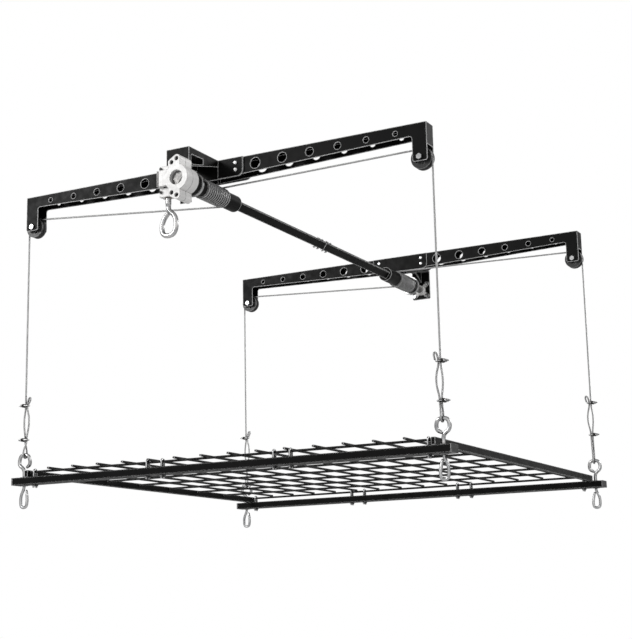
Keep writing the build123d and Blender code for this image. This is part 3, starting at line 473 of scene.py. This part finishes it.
def run_line(corner):
    """A cable from its drum, over the top of its pulley and down to the pulley's axis height."""
    side, end = CORNERS[corner]
    start = departure(side, end)
    axis_x, y, axis_z = JOINTS[f"{corner}_pulley_turn"]["pos_m"]
    across, drop = abs(axis_x - start.x), axis_z - start.z
    rise = math.atan2(drop, across) + math.asin(PULLEY_LINE_RADIUS / math.hypot(across, drop))
    line = [start]
    steps = 24
    for i in range(steps + 1):
        turned = (math.pi / 2 + rise) * (1 - i / steps)
        line.append(Vector((axis_x + side * PULLEY_LINE_RADIUS * math.cos(turned), y,
                            axis_z + PULLEY_LINE_RADIUS * math.sin(turned))))
    return line


def make_runs():
    for corner in CORNERS:
        piece(f"{corner}_cable_run", [rope_mesh(run_line(corner))], "wire_rope", "ceiling_frame", "cable_runs")


def make_drops():
    """The free stretch of each cable, built at one length; on the real lift it shortens as the deck rises."""
    for corner in CORNERS:
        top = JOINTS[f"{corner}_pulley_turn"]["pos_m"][2]
        x, y, _ = JOINTS[f"{corner}_hook_swivel"]["pos_m"]
        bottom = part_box(f"{corner}_cable_end")[1].z
        drop = piece(f"{corner}_cable_drop", [rope_mesh([(x, y, top), (x, y, bottom)])], "wire_rope",
                     "ceiling_frame", "cable_drops")
        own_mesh(drop)


def cable_end_line(corner):
    """A cable's end: down to the hook's eye, round its rod and back up through both clips to a tail loop."""
    upper, lower = CLIP_HEIGHTS[corner]
    reach = HOOK_ROD_RADIUS + CABLE_RADIUS + 0.0003
    turn = HOOK_EYE_TOP - reach
    beside = CLIP_SPACING
    middle = (upper + lower) / 2
    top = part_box(f"{corner}_cable_end")[1].z - BAR_TOP
    points = [(0, 0, top), (0, 0, upper + 0.008), (0, 0, upper - 0.008), (-0.004, 0, middle + 0.012),
              (-0.004, 0, middle - 0.012), (0, 0, lower + 0.008), (0, 0, lower - 0.008),
              (0.001, reach, HOOK_EYE_TOP + 0.012), (0.001, reach, turn), (0.001, -reach, turn),
              (0.001, -reach, HOOK_EYE_TOP + 0.012), (beside, 0, lower - 0.008),
              (beside, 0, lower + 0.008), (beside + 0.0065, 0, middle - 0.010),
              (beside + 0.0065, 0, middle + 0.014), (beside, 0, upper - 0.009), (beside, 0, upper + 0.004),
              (beside + 0.004, 0, upper + 0.019), (beside + 0.010, 0, upper + 0.021),
              (beside + 0.011, 0, upper + 0.013), (beside + 0.0065, -0.0035, upper + 0.003)]
    return smooth_line([corner_point(corner, *point) for point in points])


def make_cable_ends():
    for corner in CORNERS:
        piece(f"{corner}_cable_tail", [rope_mesh(cable_end_line(corner))], "wire_rope", f"{corner}_swivel",
              f"{corner}_cable_end")


CROSSING = (math.radians(105), math.radians(185))  # where a wound cable steps over to its next groove
CROSSING_RISE = 0.0014


def winding_line(depths):
    """A cable laid in every second groove, which steps over between them on the drum's upper left."""
    steps = 48
    start = CROSSING[1] - 2 * math.pi
    width = CROSSING[1] - CROSSING[0]
    line = []
    for lap, depth in enumerate(depths):
        last = lap == len(depths) - 1
        for i in range(steps):
            angle = start + 2 * math.pi * i / steps
            share = min(1, max(0, (angle - CROSSING[0]) / width))
            eased = share * share * (3 - 2 * share)
            y = depth if last else depth + (depths[lap + 1] - depth) * eased
            reach = DRUM_LINE_RADIUS + CROSSING_RISE * math.sin(math.pi * share) ** 2
            if last and share > 0:
                reach = DRUM_LINE_RADIUS - 0.006 * share
            line.append((SHAFT_X + reach * math.cos(angle), y, SHAFT_Z + reach * math.sin(angle)))
    return line


def make_windings():
    windings = []
    for end in (-1, 1):
        turns = drum_turns(end)[::-end]
        windings += [winding_line(turns[0::2]), winding_line(turns[1::2])]
    piece("drum_windings", [rope_mesh(line) for line in windings], "wire_rope", "drive_shaft", "wound_cables")


make_runs()
make_drops()
make_cable_ends()
make_windings()


# ---------------------------------------------------------------- crank eye and hooks

def make_crank_eye():
    """A rod that drops from the worm, swings aside into a loop and tucks its end in behind the neck."""
    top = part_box("crank_eye")[1].z
    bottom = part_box("crank_eye")[0].z
    rod = 0.0058
    low = bottom + rod - top
    outline = [(0, 0, -0.016), (0, 0, -0.024), (0.003, 0, -0.033), (0.019, 0, -0.045), (0.024, -0.001, -0.069),
               (0.016, 0, low), (-0.014, 0.001, low), (-0.0215, 0.003, -0.069), (-0.017, 0.007, -0.047),
               (-0.006, 0.0095, -0.034), (0, 0.0105, -0.027)]
    line = smooth_line([Vector((WORM_X + x, WORM_Y + y, top + z)) for x, y, z in outline])
    stem = [(0.0003, -0.022), (0.0060, -0.022), (0.0069, -0.014), (0.0069, -0.001), (0.0066, 0), (0.0003, 0)]
    turned = ring_mesh(WORM_X, WORM_Y, [(r, top + z) for r, z in stem])
    piece("crank_eye_bent", [rod_mesh(line, rod, 0.85, 0.02), turned], "zinc_plate", "crank_worm", "crank_eye")


def make_hook(corner):
    """A rod bent into an eye above the deck bar and a long loop below it, with a washer each side."""
    x, y, _ = JOINTS[f"{corner}_hook_swivel"]["pos_m"]
    thickness = BAR_TOP - BAR_BOTTOM
    eye = [(0, 0, -thickness / 2), (0, 0, 0.004), (0, 0, 0.017), (-0.004, -0.001, 0.0255),
           (-0.0155, -0.001, 0.0325), (-0.0166, 0, 0.046), (-0.011, 0, HOOK_EYE_TOP + 0.0006),
           (0.011, 0, HOOK_EYE_TOP + 0.0006), (0.0166, 0.001, 0.046), (0.0155, 0.003, 0.034),
           (0.0065, 0.0045, 0.0285), (0.002, 0.005, 0.0265)]
    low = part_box(f"{corner}_hook")[0].z - BAR_TOP + 0.0036
    loop = [(0, 0, -thickness / 2), (0, 0, -thickness - 0.004), (-0.001, 0, -thickness - 0.010),
            (-0.0095, 0, -thickness - 0.026), (-0.0105, 0, low + 0.012), (-0.0075, 0, low),
            (0.0075, 0, low), (0.0105, 0, low + 0.012), (0.0088, 0.002, -thickness - 0.026),
            (0.0045, 0.0035, -thickness - 0.011)]
    eye_line = smooth_line([corner_point(corner, *point) for point in eye])
    loop_line = smooth_line([corner_point(corner, *point) for point in loop])
    parts = [rod_mesh(eye_line, HOOK_ROD_RADIUS, 0.75, 0.012),
             rod_mesh(loop_line, HOOK_LOOP_RADIUS, 0.7, 0.014)]
    washer = [(0.0046, WASHER_HEIGHT), (0.0100, WASHER_HEIGHT), (0.0104, 0.0012), (0.0104, 0.0004),
              (0.0100, 0), (0.0046, 0)]
    for low_face in (BAR_TOP, BAR_BOTTOM - WASHER_HEIGHT):
        parts.append(ring_mesh(x, y, [(r, low_face + z) for r, z in washer]))
    piece(f"{corner}_hook_bent", parts, "zinc_plate", f"{corner}_swivel", f"{corner}_hook")


def stack_mesh(outline, layers, to_space):
    """A solid of flat layers. outline is a flat loop, layers hold (height, share of the outline's size)."""
    vertices = [tuple(to_space(share * across, share * along, height))
                for height, share in layers for across, along in outline]
    return np.array(vertices), ring_faces(len(layers), len(outline))


def oval(half_width, half_height, corner, steps=6):
    """A rectangle with round corners, as points round its middle."""
    points = []
    for turn, (x, y) in enumerate(((1, 1), (-1, 1), (-1, -1), (1, -1))):
        for i in range(steps + 1):
            angle = math.radians(90 * (turn + i / steps))
            points.append((x * (half_width - corner) + corner * math.cos(angle),
                           y * (half_height - corner) + corner * math.sin(angle)))
    return points


def threaded_rod_mesh(points, radius, thread_length, pitch=0.0008):
    """A round rod with a fine thread at both its ends."""
    line = spaced(points, pitch / 2)
    along = distances(line)
    to_end = np.minimum(along, along[-1] - along)
    radii = np.full(len(line), radius)
    crests = (to_end < thread_length) & (np.arange(len(line)) % 2 == 1)
    radii[crests] *= 0.86
    return swept_mesh(line, radii, [1.0] * 14)


def make_clips(corner):
    """Two wire rope clips: a bright U-bolt round both stretches of cable, a dark saddle and two nuts."""
    leg_y = CABLE_RADIUS + CLIP_ROD_RADIUS + 0.0001
    bend_x = CLIP_SPACING + 0.0009
    arc = [(bend_x + leg_y * math.sin(math.pi * i / 16), -leg_y * math.cos(math.pi * i / 16))
           for i in range(17)]
    path = [(-0.018, -leg_y)] + arc + [(-0.018, leg_y)]
    seat = -CABLE_RADIUS - 0.0001
    saddle = [(seat, 0.80), (seat - 0.0008, 0.97), (seat - 0.0030, 1.0), (-0.0082, 0.92), (-0.009, 0.78)]
    nut = [(-0.009, 0.92), (-0.0094, 1.0), (-0.0131, 1.0), (-0.0135, 0.9)]
    hexagon = [(NUT_RADIUS * math.cos(math.radians(60 * i)), NUT_RADIUS * math.sin(math.radians(60 * i)))
               for i in range(6)]
    bright, dark = [], []
    for height in CLIP_HEIGHTS[corner]:
        bolt = [corner_point(corner, x, y, height) for x, y in path]
        bright.append(threaded_rod_mesh(bolt, CLIP_ROD_RADIUS, 0.010))

        def beside_cable(across, along, inward, height=height):
            return corner_point(corner, inward, across, height + along)

        dark.append(stack_mesh(oval(0.0078, 0.0046, 0.0026), saddle, beside_cable))
        for y in (-leg_y, leg_y):

            def on_leg(across, along, inward, y=y, height=height):
                return corner_point(corner, inward, y + across, height + along)

            bright.append(stack_mesh(hexagon, nut, on_leg))
    piece(f"{corner}_clip_bolts", bright, "zinc_plate", f"{corner}_swivel", f"{corner}_clips")
    piece(f"{corner}_clip_saddles", dark, "dark_clip", f"{corner}_swivel", f"{corner}_clips")


make_crank_eye()
for each_corner in CORNERS:
    make_hook(each_corner)
    make_clips(each_corner)


# ---------------------------------------------------------------- floor and light

FLOOR_Z = -1.9


def add_floor():
    """A plain pale floor, well below the deck."""
    mesh = bpy.data.meshes.new("floor")
    half = 30
    corners = [(-half, -half, FLOOR_Z), (half, -half, FLOOR_Z), (half, half, FLOOR_Z), (-half, half, FLOOR_Z)]
    mesh.from_pydata(corners, [], [(0, 1, 2, 3)])
    made = Finish("floor")
    made.colour(made.mix(made.span(made.noise(3, 4), 0, 1), grey(0.86), grey(0.90)))
    made.roughness(made.span(made.noise(8), 0.7, 0.8))
    mesh.materials.append(made.material)
    floor = bpy.data.objects.new("floor", mesh)
    bpy.context.scene.collection.objects.link(floor)


BACKDROP_WAY = (-0.457, 0.865, 0.204)  # the studio's white wall lies this way


def add_world():
    """A white wall behind the object and one behind the camera, with greyer sides between them."""
    world = bpy.data.worlds.new("studio")
    world.use_nodes = True
    nodes, links = world.node_tree.nodes, world.node_tree.links
    way = nodes.new("ShaderNodeTexCoord").outputs["Generated"]
    facing = nodes.new("ShaderNodeVectorMath")
    facing.operation = "DOT_PRODUCT"
    facing.inputs[1].default_value = BACKDROP_WAY
    links.new(way, facing.inputs[0])
    share = nodes.new("ShaderNodeMapRange")
    share.inputs["From Min"].default_value = -1
    links.new(facing.outputs["Value"], share.inputs["Value"])
    tones = nodes.new("ShaderNodeValToRGB")
    links.new(share.outputs["Result"], tones.inputs["Fac"])
    ramp = tones.color_ramp
    ramp.elements[0].position = 0.0
    ramp.elements[0].color = (1, 1, 1, 1)
    ramp.elements[1].position = 1.0
    ramp.elements[1].color = (1, 1, 1, 1)
    for position, tone in ((0.18, 0.9), (0.34, 0.34), (0.80, 0.34), (0.95, 1.0)):
        ramp.elements.new(position).color = (tone, tone, tone, 1)
    background = nodes["Background"]
    links.new(tones.outputs["Color"], background.inputs["Color"])
    background.inputs["Strength"].default_value = 1.0
    bpy.context.scene.world = world


def add_light(name, place, target, size, watts):
    """A square soft box at a place, aimed at a target."""
    data = bpy.data.lights.new(name, "AREA")
    data.size = size
    data.energy = watts
    light = bpy.data.objects.new(name, data)
    light.location = place
    light.rotation_euler = (Vector(target) - Vector(place)).to_track_quat("-Z", "Y").to_euler()
    bpy.context.scene.collection.objects.link(light)


add_floor()
add_world()
add_light("key", (-2.6, -3.2, 1.4), (0, -0.3, -0.3), 1.4, 70)
add_light("rim", (2.8, 1.8, 1.2), (0, 0, -0.3), 1.2, 45)
bpy.context.scene.view_settings.view_transform = "Standard"
